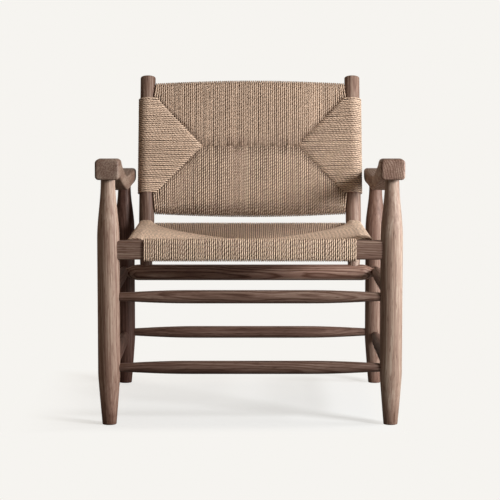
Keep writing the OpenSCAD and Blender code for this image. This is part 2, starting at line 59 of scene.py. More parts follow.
camera_data = bpy.data.cameras.new("camera")
camera_data.lens = lens_mm
camera_data.sensor_width = film_mm
camera = bpy.data.objects.new("camera", camera_data)
camera.location = (0, front_y - camera_ahead, camera_height)
camera.rotation_euler = (math.pi / 2 - camera_tilt, 0, 0)
bpy.context.scene.collection.objects.link(camera)
bpy.context.scene.camera = camera
bpy.context.scene.view_settings.view_transform = "Standard"


# ---- Light ----
# The main lamp is a small panel at the right in front, and a wider and weaker one stands at the
# right. Two broad suns give soft light from the front and from above behind, and the room fills
# the shadows a little.
panel_colour = (1.0, 0.985, 0.96)
soft_colour = (1.0, 0.82, 0.66)
lamp_aim = Vector((0, -0.1, 0.4))


def new_lamp(name, kind, around, up, power, colour):
    """A lamp that shines from around degrees to the right of the front and up degrees high."""
    data = bpy.data.lights.new(name, kind)
    data.energy = power
    data.color = colour
    lamp = bpy.data.objects.new(name, data)
    lamp.rotation_euler = (math.radians(90 - up), 0, math.radians(around))
    bpy.context.scene.collection.objects.link(lamp)
    return lamp


def panel_lamp(name, around, up, distance, size, power):
    """A flat lamp of a size in metres, at a distance from the point that it is aimed at."""
    lamp = new_lamp(name, "AREA", around, up, power, panel_colour)
    lamp.data.shape = "RECTANGLE"
    lamp.data.size, lamp.data.size_y = size
    facing = lamp.rotation_euler.to_matrix().col[2]
    lamp.location = lamp_aim + facing * distance


def soft_sun(name, around, up, strength, width):
    """A sun that looks width degrees wide."""
    lamp = new_lamp(name, "SUN", around, up, strength, soft_colour)
    lamp.data.angle = math.radians(width)


panel_lamp("key_lamp", around=54, up=17.5, distance=2.3, size=(0.55, 0.58), power=56)
panel_lamp("side_lamp", around=84, up=6, distance=2.0, size=(0.8, 0.8), power=27)
soft_sun("front_lamp", around=-20, up=8, strength=0.50, width=100)
soft_sun("top_lamp", around=195, up=55, strength=0.65, width=80)


# ---- Shader arithmetic, room and floor ----
# A plain pale floor runs into a backdrop of the same colour. It takes a light shadow of the chair.
# The arithmetic that the materials are written in comes first.
class Value:
    """A socket of a node tree that takes part in arithmetic: each operation adds a Math node."""

    def __init__(self, tree, socket):
        self.tree = tree
        self.socket = socket

    def node(self, kind, settings, values, out=0):
        """Add a node of a kind, with its settings first and then its inputs; give one output."""
        made = self.tree.nodes.new(kind)
        for key, setting in settings.items():
            if key == "stops":
                fill_ramp(made.color_ramp, setting)
            else:
                setattr(made, key, setting)
        for key, value in values.items():
            feed(self.tree, made.inputs[key], value)
        return Value(self.tree, made.outputs[out])

    def maths(self, operation, *others, **settings):
        """Add a Math node that does an operation on this value and the others."""
        values = dict(enumerate((self,) + others))
        return self.node("ShaderNodeMath", {"operation": operation, **settings}, values)

    def __add__(self, other):
        return self.maths("ADD", other)

    def __mul__(self, other):
        return self.maths("MULTIPLY", other)

    def __sub__(self, other):
        return self.maths("SUBTRACT", other)

    def __rsub__(self, other):
        return self.maths("MULTIPLY_ADD", -1.0, other)

    def __truediv__(self, other):
        return self.maths("DIVIDE", other)

    def __pow__(self, other):
        return self.maths("POWER", other)

    def __rtruediv__(self, other):
        return self.maths("POWER", -1.0) * other

    __radd__ = __add__
    __rmul__ = __mul__

    def mixed(self, low, high, **settings):
        """The colour low where this value is 0, and high where it is 1."""
        return self.node("ShaderNodeMix", {"data_type": "RGBA", **settings},
                         {0: self, 6: low, 7: high}, out=2)


def fill_ramp(ramp, stops):
    """Give a colour ramp its stops, each a place and a grey level."""
    for _ in stops[2:]:
        ramp.elements.new(0.5)
    for element, (place, grey) in zip(ramp.elements, stops):
        element.position = place
        element.color = (grey, grey, grey, 1)


def feed(tree, socket, value):
    """Link a Value to an input, or write a number, vector or colour into it."""
    if isinstance(value, Value):
        tree.links.new(value.socket, socket)
    elif isinstance(value, tuple) and socket.type == "RGBA":
        socket.default_value = (*value, 1)
    else:
        socket.default_value = value


def new_tree(owner):
    """Clear an owner's node tree and give a Value to start from, with the tree's output node."""
    owner.use_nodes = True
    tree = owner.node_tree
    tree.nodes.clear()
    what = "World" if isinstance(owner, bpy.types.World) else "Material"
    return Value(tree, None), tree.nodes.new("ShaderNodeOutput" + what)


room_colour = (0.922, 0.905, 0.871)
fill_colour, fill_strength = (1.0, 0.76, 0.58), 0.05
reflected_share = 0.07

world = bpy.data.worlds.new("room")
bpy.context.scene.world = world
start, output = new_tree(world)
seen = [start.node("ShaderNodeLightPath", {}, {}, out=ray)
        for ray in ("Is Camera Ray", "Is Glossy Ray", "Is Transmission Ray")]
any_seen = seen[0].maths("MAXIMUM", seen[1].maths("MAXIMUM", seen[2]) * reflected_share)
lit = start.node("ShaderNodeBackground", {}, {"Color": fill_colour, "Strength": fill_strength})
shown = start.node("ShaderNodeBackground", {}, {"Color": room_colour, "Strength": 1.0})
both = start.node("ShaderNodeMixShader", {}, {0: any_seen, 1: lit, 2: shown})
feed(start.tree, output.inputs["Surface"], both)

# The floor paint is what throws light back on the chair. What is shown is a lighter paint with an
# even glow over it, which keeps the shadow light. The lamps light the floor more towards the right
# and the front, by these gains a metre, and the shown paint is divided by that so it looks even.
floor_paint = (0.165, 0.162, 0.156)
shown_paint = (0.432, 0.455, 0.478)
floor_glow = (0.571, 0.562, 0.542)
gain_right, gain_front = 0.53, 0.36
# Where the shown floor begins to fade into the backdrop's colour and where the fade ends, from the
# chair's middle to each side, and from the front legs to the rear and the front.
fade_right, fade_left = (0.25, 0.33), (0.29, 0.53)
fade_rear, fade_front = (0.57 + front_y, 0.76 + front_y), (0.01 - front_y, 0.12 - front_y)

floor_material = bpy.data.materials.new("pale_floor")
start, output = new_tree(floor_material)
paint = start.node("ShaderNodeBsdfDiffuse", {}, {"Color": floor_paint})
glow = start.node("ShaderNodeEmission", {}, {"Color": floor_glow, "Strength": 1.0})
place = start.node("ShaderNodeTexCoord", {}, {}, out="Object")
floor_x, floor_y = [place.node("ShaderNodeSeparateXYZ", {}, {"Vector": place}, out=axis)
                    for axis in (0, 1)]
lamp_light = floor_x * gain_right - floor_y * gain_front + 1.0
even = place.node("ShaderNodeVectorMath", {"operation": "SCALE"},
                  {0: shown_paint, "Scale": 1.0 / lamp_light})
shown = start.node("ShaderNodeBsdfDiffuse", {}, {"Color": even})
near = start.node("ShaderNodeAddShader", {}, {0: shown, 1: glow})
far = start.node("ShaderNodeEmission", {}, {"Color": room_colour, "Strength": 1.0})
fades = [side.node("ShaderNodeMapRange", {"interpolation_type": "SMOOTHSTEP"},
                   {"Value": side, "From Min": low, "From Max": high})
         for side, (low, high) in ((floor_x, fade_right), (floor_x * -1.0, fade_left),
                                   (floor_y, fade_rear), (floor_y * -1.0, fade_front))]
fade = fades[0].maths("MAXIMUM", fades[1]).maths("MAXIMUM", fades[2].maths("MAXIMUM", fades[3]))
own = start.node("ShaderNodeMixShader", {}, {0: fade, 1: near, 2: far})
floor_ray = start.node("ShaderNodeLightPath", {}, {}, out="Is Camera Ray")
both = start.node("ShaderNodeMixShader", {}, {0: floor_ray, 1: paint, 2: own})
feed(start.tree, output.inputs["Surface"], both)

floor_half = 20.0
floor_mesh = bpy.data.meshes.new("floor")
floor_corners = ((-1, -1), (1, -1), (1, 1), (-1, 1))
floor_mesh.from_pydata([(x * floor_half, y * floor_half, 0) for x, y in floor_corners], [],
                       [(0, 1, 2, 3)])
floor = bpy.data.objects.new("floor", floor_mesh)
floor.data.materials.append(floor_material)
bpy.context.scene.collection.objects.link(floor)


# ---- Walnut ----
# Every wooden piece is cut from dark walnut with its grain lengthwise, turned or shaped, and
# oiled. The growth rings are cylinders about a heart line beside the piece, so that they show as
# lines along it, as arches where it swells, and as arcs on its end grain.
ring_gap = 0.0062
ring_bend, ring_ripple = 0.045, 0.4
late_wood = [(0.0, 0.85), (0.14, 0.1), (0.55, 0.0), (1.0, 1.0)]
pore_above, pore_strength = 0.58, 5
# Height above the floor within which the feet are painted darker, a painted shade.
foot_shade_height = 0.065
# How much each kind of mark lightens or darkens the wood, and raises or sinks its surface.
patch_tone, band_tone, fibre_tone, base_tone = 0.55, 0.75, 0.5, 0.30
late_tone, pore_tone, foot_shade_tone = 0.30, 0.45, 0.32
band_relief, fibre_relief, late_relief, pore_relief = 0.4, 0.6, 0.4, 1.5
wood_dark = (0.071, 0.032, 0.021)
wood_mid = (0.192, 0.114, 0.088)
wood_light = (0.420, 0.318, 0.258)
post_lean = math.radians(17)
turn_to_grain = {
    "up": (0, 0, 0),
    "across": (0, -math.pi / 2, 0),
    "deep": (math.pi / 2, 0, 0),
    "lean": (post_lean, 0, 0),
}
grain_slope = 0.02
wood_random = np.random.default_rng(7)


def walnut(name, grain, centre, board):
    """Walnut for one piece: grain names the way it runs, and centre is the piece's middle.

    board holds how light the board is, which is partly the wood's own tone and partly painted
    light and shade, how yellow it is against the usual red brown, the direction of its heart line
    round the grain in degrees, the distance to it, how clearly its rings show, and how much
    lighter it gets a metre upwards, which is painted light and shade. The ring count is the
    distance from the heart line, bent by slow noise, over the gap between rings. Fibres and pores
    are noise drawn out along the grain. The feet are painted darker towards the floor, a painted
    shade where they stand on it. The wood is its dark colour where the tone is 0, its middle one
    at a half, and its light one at 1.
    """
    lightness, hue, heart, away, figure, shade_lift = board
    material = bpy.data.materials.new(name)
    start, output = new_tree(material)
    place = start.node("ShaderNodeTexCoord", {}, {}, out="Object")
    slope = wood_random.uniform(-grain_slope, grain_slope, 2)
    centred = place.node("ShaderNodeVectorMath", {"operation": "SUBTRACT"},
                         {0: place, 1: tuple(centre)})
    turned = centred.node("ShaderNodeMapping", {"vector_type": "POINT"},
                          {"Vector": centred, "Rotation": turn_to_grain[grain]})
    shift = (away * math.cos(math.radians(heart)), away * math.sin(math.radians(heart)),
             wood_random.uniform(1, 9))
    board = turned.node("ShaderNodeMapping", {"vector_type": "POINT"},
                        {"Vector": turned, "Rotation": (slope[0], slope[1], 0), "Location": shift})

    def streaks(across, along, detail):
        """Noise that varies across times a metre across the grain, and along times along it."""
        drawn = board.node("ShaderNodeVectorMath", {"operation": "MULTIPLY"},
                           {0: board, 1: (across, across, along)})
        return drawn.node("ShaderNodeTexNoise", {},
                          {"Vector": drawn, "Scale": 1.0, "Detail": detail, "Roughness": 0.55})

    bend = streaks(13, 2.6, 2)
    x_y = [board.node("ShaderNodeSeparateXYZ", {}, {"Vector": board}, out=axis) for axis in (0, 1)]
    distance = (x_y[0] * x_y[0] + x_y[1] * x_y[1]) ** 0.5
    rings = (distance + bend * ring_bend) / ring_gap + streaks(160, 3, 1) * ring_ripple
    ring = rings.maths("FRACT")
    late = ring.node("ShaderNodeValToRGB", {"stops": late_wood}, {"Fac": ring})
    fibre = streaks(620, 9, 3)
    band = streaks(270, 7, 2)
    patch = streaks(30, 3.0, 2)
    pore = streaks(700, 45, 1).maths("SUBTRACT", pore_above, use_clamp=True) * pore_strength
    # Painted light and shade: the tone changes with height, by shade_lift a metre.
    height_shade = centred.node("ShaderNodeSeparateXYZ", {}, {"Vector": centred}, out=2) * shade_lift
    # Painted shade: the wood darkens within foot_shade_height of the floor.
    above_floor = place.node("ShaderNodeSeparateXYZ", {}, {"Vector": place}, out=2)
    painted_foot_shade = (above_floor / -foot_shade_height + 1.0).maths("MAXIMUM", 0.0)
    tone = (patch * patch_tone + band * band_tone + fibre * fibre_tone - late * (late_tone * figure)
            - pore * pore_tone + height_shade - painted_foot_shade * foot_shade_tone - base_tone)
    dark_side = (tone * 2.0).maths("MINIMUM", 1.0)
    light_side = (tone * 2.0 - 1.0).maths("MAXIMUM", 0.0)
    cast = (lightness, lightness * hue, lightness * hue ** 1.1)
    dark, mid, light = [tuple(part * share for part, share in zip(wood, cast))
                        for wood in (wood_dark, wood_mid, wood_light)]
    body = dark_side.mixed(dark, mid, clamp_factor=True)
    colour = light_side.node("ShaderNodeMix", {"data_type": "RGBA", "clamp_factor": True},
                             {0: light_side, 6: body, 7: light}, out=2)
    height = (fibre * fibre_relief + band * band_relief - pore * pore_relief
              - late * late_relief)
    bump = height.node("ShaderNodeBump", {},
                       {"Strength": 0.4, "Distance": 0.0005, "Height": height})
    shader = start.node("ShaderNodeBsdfPrincipled", {}, {
        "Base Color": colour, "Roughness": 0.56 - fibre * 0.12, "Normal": bump,
        "IOR": 1.5, "Specular IOR Level": 0.32})
    feed(start.tree, output.inputs["Surface"], shader)
    return material


# ---- Turned and shaped wood ----
# The pieces come in their final shape. Each one gets its own board of walnut, and its surface is
# shaded smooth except where faces meet at an edge.
weld_gap = 0.00002
edge_angle = math.radians(32)
# The boards by the way their grain runs, each with walnut's six numbers: lightness, hue, heart,
# away, figure and shade_lift. Each lightness is partly the wood's own tone and partly painted
# light and shade, and shade_lift is painted light and shade that changes with height.
boards = {
    "up": {
        "leg_front_left": (1.66, 1.06, 20, 0.075, 0.50, 0.50),
        "leg_front_right": (1.52, 1.14, 95, 0.050, 0.35, -0.10),
        "leg_rear_left": (0.58, 0.80, 40, 0.080, 1.00, 0.00),
        "leg_rear_right": (1.20, 1.00, 100, 0.060, 0.50, -0.60),
    },
    "deep": {
        "arm_left": (1.12, 1.09, 200, 0.110, 0.35, 0.00),
        "arm_right": (1.28, 1.07, 5, 0.130, 1.50, -3.00),
        "side_upper_stretcher_left": (0.50, 0.82, 70, 0.060, 1.00, 0.00),
        "side_upper_stretcher_right": (0.90, 0.97, 20, 0.060, 1.00, 0.00),
        "side_lower_stretcher_left": (0.65, 0.88, 110, 0.060, 1.00, 0.00),
        "side_lower_stretcher_right": (0.70, 0.90, 50, 0.060, 1.00, 0.00),
        "side_seat_rail_left": (1.00, 1.00, 90, 0.080, 1.00, 0.00),
        "side_seat_rail_right": (1.00, 1.00, 90, 0.080, 1.00, 0.00),
    },
    "across": {
        "front_upper_stretcher": (0.95, 1.03, 75, 0.055, 1.60, 0.00),
        "front_lower_stretcher": (0.69, 0.97, 130, 0.060, 1.40, 0.00),
        "rear_lower_stretcher": (0.87, 0.96, 60, 0.070, 1.00, 0.00),
        "front_seat_rail": (0.95, 1.02, 10, 0.080, 1.00, 0.00),
        "rear_seat_rail": (1.00, 1.00, 90, 0.080, 1.00, 0.00),
        "cross_rail": (1.52, 1.00, 112, 0.052, 2.00, 0.00),
        "low_back_rail": (1.00, 1.00, 90, 0.080, 1.00, 0.00),
        "high_back_rail": (1.00, 1.00, 90, 0.080, 1.00, 0.00),
    },
    "lean": {
        "back_post_left": (1.06, 1.02, 30, 0.070, 1.00, 0.15),
        "back_post_right": (1.33, 1.08, 100, 0.060, 1.00, -0.30),
    },
}
for grain, pieces in boards.items():
    for node, board in pieces.items():
        piece = nodes[node]
        low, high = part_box(node)
        piece.data.materials.clear()
        piece.data.materials.append(walnut("walnut_" + node, grain, (low + high) / 2, board))
        piece.data.polygons.foreach_set("use_smooth", np.ones(len(piece.data.polygons), bool))
        weld = piece.modifiers.new("weld", "WELD")
        weld.merge_threshold = weld_gap
        split = piece.modifiers.new("edges", "EDGE_SPLIT")
        split.split_angle = edge_angle


# ---- Paper cord ----
# Brown paper is twisted into two-ply cord, about 4 mm thick. It is woven wet and tight, and has
# a faint sheen when dry.
cord_d = 0.0040
cord_sides = 10
ply_count = 2
ply_pitch = 0.0175
ply_wander = 0.6
ply_mean, flank_mean, flank_sharp = 0.64, 0.29, 2.5
# How much each kind of mark lightens or darkens the paper.
groove_share, ply_share, tone_share, base_share = 0.55, 0.22, 0.5, 0.45
speck_share, mottle_share, stain_share = 0.5, 0.35, 0.25
paper_dark, paper_light = (0.100, 0.052, 0.030), (0.88, 0.670, 0.515)
cord_random = np.random.default_rng(11)

cord_material = bpy.data.materials.new("paper_cord")
start, output = new_tree(cord_material)
along_cord = start.node("ShaderNodeUVMap", {"uv_map": "along"}, {})
round_u, along_v = [along_cord.node("ShaderNodeSeparateXYZ", {}, {"Vector": along_cord}, out=axis)
                    for axis in (0, 1)]
tone, groove = [start.node("ShaderNodeAttribute", {"attribute_name": name}, {}, out="Fac")
                for name in ("tone", "groove")]
where = start.node("ShaderNodeTexCoord", {}, {}, out="Object")
speck = where.node("ShaderNodeTexNoise", {}, {"Vector": where, "Scale": 330.0, "Detail": 2.0})
mottle = where.node("ShaderNodeTexNoise", {}, {"Vector": where, "Scale": 110.0, "Detail": 2.0})
stain = where.node("ShaderNodeTexNoise", {}, {"Vector": where, "Scale": 9.0, "Detail": 2.0})
# A ply is |sin| of its turns, and a flank is |sin| round the cord, where it faces its neighbours;
# the flank is painted shade, darkening the cord where it presses on its neighbours. Their means
# are taken off, so that they change the cord's marks and not its tone.
turns = round_u + along_v / ply_pitch + mottle * ply_wander
strand = (turns * (ply_count * math.pi)).maths("SINE").maths("ABSOLUTE") - ply_mean
flank_shade = (round_u * (2 * math.pi)).maths("SINE").maths("ABSOLUTE") ** flank_sharp - flank_mean
level = (strand * (groove * groove_share + ply_share) + tone * tone_share + speck * speck_share
         + mottle * mottle_share + stain * stain_share - flank_shade * groove - base_share)
colour = level.mixed(paper_dark, paper_light, clamp_factor=True)
bump = strand.node("ShaderNodeBump", {}, {"Strength": 0.9, "Distance": 0.0007, "Height": strand})
shader = start.node("ShaderNodeBsdfPrincipled", {}, {
    "Base Color": colour, "Roughness": 0.62, "Normal": bump, "Specular IOR Level": 0.35,
    "Sheen Weight": 0.06, "Sheen Roughness": 0.5})
feed(start.tree, output.inputs["Surface"], shader)


def cord_piece(name, node, points, faces):
    """A mesh of paper cord from lists of points and faces, in place of the chair's solid node."""
    mesh = bpy.data.meshes.new(name)
    mesh.from_pydata(points, [], faces)
    mesh.polygons.foreach_set("use_smooth", np.ones(len(mesh.polygons), bool))
    mesh.materials.append(cord_material)
    piece = bpy.data.objects.new(name, mesh)
    bpy.context.scene.collection.objects.link(piece)
    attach(piece, "root")
    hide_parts(node)
    return piece


# Points of a path in each dive beside a diagonal, in each straight run, and in the turns round a
# rail, and how much the cords differ in tone.
dive_points, run_points, turn_points = 4, 4, 20
tone_spread, tone_limit = 0.075, 0.3


def cord_tubes(name, node, paths, across, groove, lightness, dive_shade=0.0, turn_shade=0.0,
               twist=1.0):
    """Round cords along many paths at once, as one mesh.

    node is the solid that the cords stand for. paths is an array [cord, point, xyz], and across is
    the direction square to all the paths' planes. A ring's points are
    centre + cord_d / 2 * (cos t * side + sin t * other), where side is the path's direction crossed
    with across, and other is square to both. The map "along" holds the turn t and the length.
    groove is how strongly the plies show, and how dark the cords' flanks are painted,
    a painted shade where they press on each other. lightness is the mean tone. dive_shade is how
    much darker a cord is painted where it dives at its ends, and turn_shade where it passes round
    its rail, both painted shade. twist is how much closer its turns are than the usual ones.
    """
    cords, count, _ = paths.shape
    step = np.gradient(paths, axis=1)
    step /= np.linalg.norm(step, axis=2, keepdims=True)
    side = np.cross(step, across)
    side /= np.linalg.norm(side, axis=2, keepdims=True)
    other = np.cross(side, step)
    turn = 2 * np.pi * np.arange(cord_sides) / cord_sides
    spokes = (np.cos(turn)[:, None] * side[:, :, None] + np.sin(turn)[:, None] * other[:, :, None])
    points = (paths[:, :, None] + cord_d / 2 * spokes).reshape(-1, 3)

    index = np.arange(cords * count * cord_sides).reshape(cords, count, cord_sides)
    around = np.roll(index, -1, axis=2)
    quads = np.stack([index[:, :-1], index[:, 1:], around[:, 1:], around[:, :-1]], axis=-1)
    caps = np.concatenate([index[:, 0], index[:, -1, ::-1]])
    faces = quads.reshape(-1, 4).tolist() + caps.tolist()
    piece = cord_piece(name, node, points.tolist(), faces)

    steps = np.linalg.norm(np.diff(paths, axis=1), axis=2)
    length = np.concatenate([np.zeros((cords, 1)), np.cumsum(steps, axis=1)], axis=1)
    length = length * twist + cord_random.uniform(0, 1, (cords, 1))
    low, high = length[:, :-1, None], length[:, 1:, None]
    u_low = np.broadcast_to(np.arange(cord_sides) / cord_sides, quads.shape[:3])
    u_high = u_low + 1 / cord_sides
    v_low, v_high = np.broadcast_to(low, u_low.shape), np.broadcast_to(high, u_low.shape)
    around_uv = np.stack([np.stack([u_low, v_low], -1), np.stack([u_low, v_high], -1),
                          np.stack([u_high, v_high], -1), np.stack([u_high, v_low], -1)], axis=-2)
    cap_uv = np.zeros((caps.size, 2))
    uv = np.concatenate([around_uv.reshape(-1, 2), cap_uv]).astype(np.float32)
    piece.data.uv_layers.new(name="along").data.foreach_set("uv", uv.ravel())
    own_tone = np.clip(cord_random.normal(0, tone_spread, (cords, 1)), -tone_limit, tone_limit)
    tones = lightness + own_tone * np.ones(count)
    # Painted shade: darker where the cord dives at its ends.
    tones[:, :dive_points] -= np.reshape(dive_shade, (-1, 1))
    tones[:, -dive_points:] -= np.reshape(dive_shade, (-1, 1))
    before_turn = dive_points + run_points
    # Painted shade where the cord passes round its rail.
    tones[:, before_turn:-before_turn] -= turn_shade
    for label, values in (("tone", np.repeat(tones, cord_sides)),
                          ("groove", np.full(len(points), groove))):
        attribute = piece.data.attributes.new(label, "FLOAT", "POINT")
        attribute.data.foreach_set("value", values.astype(np.float32))


narrowest, widest, wider_gap = -0.13, 0.3, 0.09


def laid_out(low, high, count, uneven=0.035):
    """Places of count cords from low to high, unevenly apart, with a wider gap here and there.

    A gap is 1 with a random share uneven, and every eighth to eleventh one is wider. The places
    are their running sum, stretched to end at high.
    """
    gaps = 1 + np.clip(cord_random.normal(0, uneven, count - 1), narrowest, widest)
    gaps[cord_random.integers(3, 12)::cord_random.integers(8, 12)] += wider_gap
    steps = np.concatenate([[0], np.cumsum(gaps)])
    return low + (high - low) * steps / steps[-1]


def tangent(du, dw, radius):
    """Angle from the top at which a line from [du, dw] touches a circle about the origin.

    It is the angle whose cosine is radius over the distance, less the line's own angle.
    """
    far = np.hypot(du, dw)
    return np.arccos(np.clip(radius / far, 0, 1)) - np.arctan2(du, dw)


# Each cord's end beside a diagonal, as steps in cord thicknesses past it and shares of the way
# down to the middle of the weave. The cords from side to side lie over those from front to back.
over_dive = np.array([(0.95, 1.0), (0.92, 0.55), (0.70, 0.18), (0.35, 0.02)])
under_dive = np.array([(0.9, 1.0), (0.1, 0.72), (-0.8, 0.32), (-1.8, 0.05)])


def wrap_paths(reach, upper, lower, corners, turn_r, dive):
    """Cords that rise at a diagonal, run to a rail, pass round it and return underneath.

    Each lies in a plane, as distance u in from the rail's axis and height w. corners are the
    centres of the rail's rounded edges, from the upper inner one round to the lower inner one,
    and the cord turns about them at the radius turn_r: a point of a turn is the centre + turn_r *
    (-sin, cos) of its angle from the top. reach, upper and lower place the cord's two ends.
    """
    reach, upper, lower, turn_r = [np.asarray(a, float) * np.ones(len(reach)) for a in
                                   (reach, upper, lower, turn_r)]
    corners = [(u * np.ones(len(reach)), w * np.ones(len(reach))) for u, w in corners]
    (first_u, first_w), (last_u, last_w) = corners[0], corners[-1]
    begin = tangent(reach - first_u, upper - first_w, turn_r)
    end = math.pi - tangent(reach - last_u, last_w - lower, turn_r)
    square = [np.full(len(reach), a) for a in (0, math.pi / 2, math.pi)]
    breaks = [begin, *(square if len(corners) > 1 else []), end]
    share = np.linspace(0, 1, turn_points // len(corners))
    arcs = []
    for (u, w), a, b in zip(corners, breaks, breaks[1:]):
        angle = a[:, None] + (b - a)[:, None] * share
        arcs.append(np.stack([u[:, None] - turn_r[:, None] * np.sin(angle),
                              w[:, None] + turn_r[:, None] * np.cos(angle)], -1))
    middle = (upper + lower) / 2

    def ending(height):
        """The dive of each cord's end from a height towards the middle."""
        depth = (middle - height)[:, None] * dive[:, 1]
        return np.stack([reach[:, None] + cord_d * dive[:, 0], height[:, None] + depth], -1)

    def run(a, b):
        """Points on the straight line from a to b."""
        t = np.linspace(0.15, 0.9, run_points)[:, None]
        return a[:, None] * (1 - t) + b[:, None] * t

    above, below = ending(upper), ending(lower)[:, ::-1]
    return np.concatenate([above, run(above[:, -1], arcs[0][:, 0]), *arcs,
                           run(arcs[-1][:, -1], below[:, 0]), below], axis=1)


cord_bow = 0.00016


def placed(paths, spots, origin, inward, up, across, splay=0):
    """Put planar paths [cord, point, (u, w)] into the chair, one plane for each spot across.

    A point is origin + u * inward + w * up + sway * across. sway is the cord's spot and two slow
    random waves, and splay is how far each cord strays sideways by the time it reaches its ends.
    """
    share = np.linspace(0, 1, paths.shape[1])
    sway = spots[:, None] + np.zeros(paths.shape[1])
    for waves in (2, 5):
        bow = cord_random.normal(0, cord_bow, (len(spots), 1))
        phase = cord_random.uniform(0, 1, (len(spots), 1))
        sway += bow * np.sin(2 * np.pi * (phase + waves * share))
    from_rail = np.clip(paths[..., 0] / paths[..., 0].max(axis=1, keepdims=True), 0, 1)
    sway += np.reshape(splay, (-1, 1)) * from_rail
    return (np.array(origin) + paths[..., :1] * np.array(inward) + paths[..., 1:] * np.array(up)
            + sway[..., None] * np.array(across))


# ---- Seat weave ----
# One cord goes round the four seat rails from the corners inwards, and turns at the middle of
# each gap, so that the seat shows four triangles above and four below.
front_rail_h, front_rail_t, front_rail_round = 0.041, 0.028, 0.005
side_rail_h, side_rail_w, side_rail_round = 0.034, 0.026, 0.006
rear_rail_r = 0.015
cord_gap = 0.0003
cord_out = cord_gap + cord_d / 2
seat_sag, seat_core = 0.0275, 0.011
weave_pull = 0.018
seat_turns, corner_room = 100, 0.0075
side_over = 0.0008

seat_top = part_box("front_seat_rail")[1].z
side_low, side_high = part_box("side_seat_rail_right")
side_x = side_high.x - side_rail_w / 2
side_z = (side_low.z + side_high.z) / 2
rear_low, rear_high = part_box("rear_seat_rail")
rear_y, rear_z = (rear_low.y + rear_high.y) / 2, (rear_low.z + rear_high.z) / 2

inner_x = side_x - side_rail_w / 2 - cord_out
inner_front = front_y + front_rail_t / 2 + cord_out
inner_rear = rear_y - rear_rail_r - cord_out
centre_y = (inner_front + inner_rear) / 2
mid_upper = seat_top - seat_sag - cord_d / 2
mid_lower = seat_top - seat_sag - seat_core + cord_d / 2


def diagonal(inset, corner, middle):
    """Height of the weave on a diagonal, at an inset from its corner.

    It falls from the corner's height towards the middle's as 1 / (1 + inset / weave_pull).
    """
    return middle + (corner - middle) / (1 + inset / weave_pull)


def box_corners(half_u, centre_w, half_w, rounding):
    """Centres of a rail's four rounded edges, from the upper inner one round to the lower one."""
    u, w = half_u - rounding, half_w - rounding
    return [(u, centre_w + w), (-u, centre_w + w), (-u, centre_w - w), (u, centre_w - w)]


front_z = seat_top - front_rail_h / 2
front_corners = box_corners(front_rail_t / 2, front_z, front_rail_h / 2, front_rail_round)
side_corners = box_corners(side_rail_w / 2, side_z, side_rail_h / 2, side_rail_round)
side_upper, side_lower = side_z + side_rail_h / 2 + cord_out, side_z - side_rail_h / 2 - cord_out
front_upper, front_lower = seat_top + cord_out, seat_top - front_rail_h - cord_out
rear_upper, rear_lower = rear_z + rear_rail_r + cord_out, rear_z - rear_rail_r - cord_out

cross_spots = laid_out(-inner_x + corner_room, inner_x - corner_room, seat_turns)
side_spots = laid_out(inner_front + corner_room, inner_rear - corner_room, seat_turns)
cross_inset = inner_x - np.abs(cross_spots)
side_inset = np.minimum(side_spots - inner_front, inner_rear - side_spots)

# Each group of cords gets its own lightness, which is painted light and shade: the front drop is
# painted lighter and the rear darker than the sides.
seat_front = wrap_paths(
    cross_inset + front_rail_t / 2 + cord_out,
    diagonal(cross_inset, (front_upper + side_upper) / 2, mid_upper),
    diagonal(cross_inset, (front_lower + side_lower) / 2, mid_lower),
    front_corners, front_rail_round + cord_out, under_dive)
seat_front = placed(seat_front, cross_spots, (0, front_y, 0), (0, 1, 0), (0, 0, 1), (1, 0, 0))
cord_tubes("seat_cords_front", "seat_weave", seat_front, (1, 0, 0), groove=2.2, lightness=1.22,
           twist=0.9)
seat_rear = wrap_paths(
    cross_inset + rear_rail_r + cord_out,
    diagonal(cross_inset, (rear_upper + side_upper) / 2, mid_upper),
    diagonal(cross_inset, (rear_lower + side_lower) / 2, mid_lower),
    [(0, rear_z)], rear_rail_r + cord_out, under_dive)
seat_rear = placed(seat_rear, cross_spots, (0, rear_y, 0), (0, -1, 0), (0, 0, 1), (1, 0, 0))
cord_tubes("seat_cords_rear", "seat_weave", seat_rear, (-1, 0, 0), groove=0.9, lightness=0.95)
near_front = side_spots < centre_y
corner_upper = np.where(near_front, front_upper, rear_upper)
corner_lower = np.where(near_front, front_lower, rear_lower)
seat_side = wrap_paths(
    side_inset + side_rail_w / 2 + cord_out,
    diagonal(side_inset, (corner_upper + side_upper) / 2, mid_upper) + side_over,
    diagonal(side_inset, (corner_lower + side_lower) / 2, mid_lower) - side_over,
    side_corners, side_rail_round + cord_out, over_dive)
for side, name in ((-1, "left"), (1, "right")):
    paths = placed(seat_side, side_spots, (side * side_x, 0, 0), (-side, 0, 0), (0, 0, 1),
                   (0, 1, 0))
    cord_tubes("seat_cords_" + name, "seat_weave", paths, (0, -side, 0), groove=0.45,
               lightness=1.02)


def seat_inner_height(x, y):
    """Height of the crossing layer inside the seat, from the same straight runs.

    It is the diagonal's height at the farther rail's distance, and falls in a straight line to the
    middle of the rail at the nearer one.
    """
    from_side = inner_x - np.abs(x)
    from_end = np.minimum(y - inner_front, inner_rear - y)
    far = np.maximum(from_side, from_end)
    near = np.minimum(from_side, from_end)
    rail = (side_upper + side_lower) / 2
    centre = diagonal(far, rail, (mid_upper + mid_lower) / 2)
    return rail + (centre - rail) * near / np.maximum(far, 1e-4)


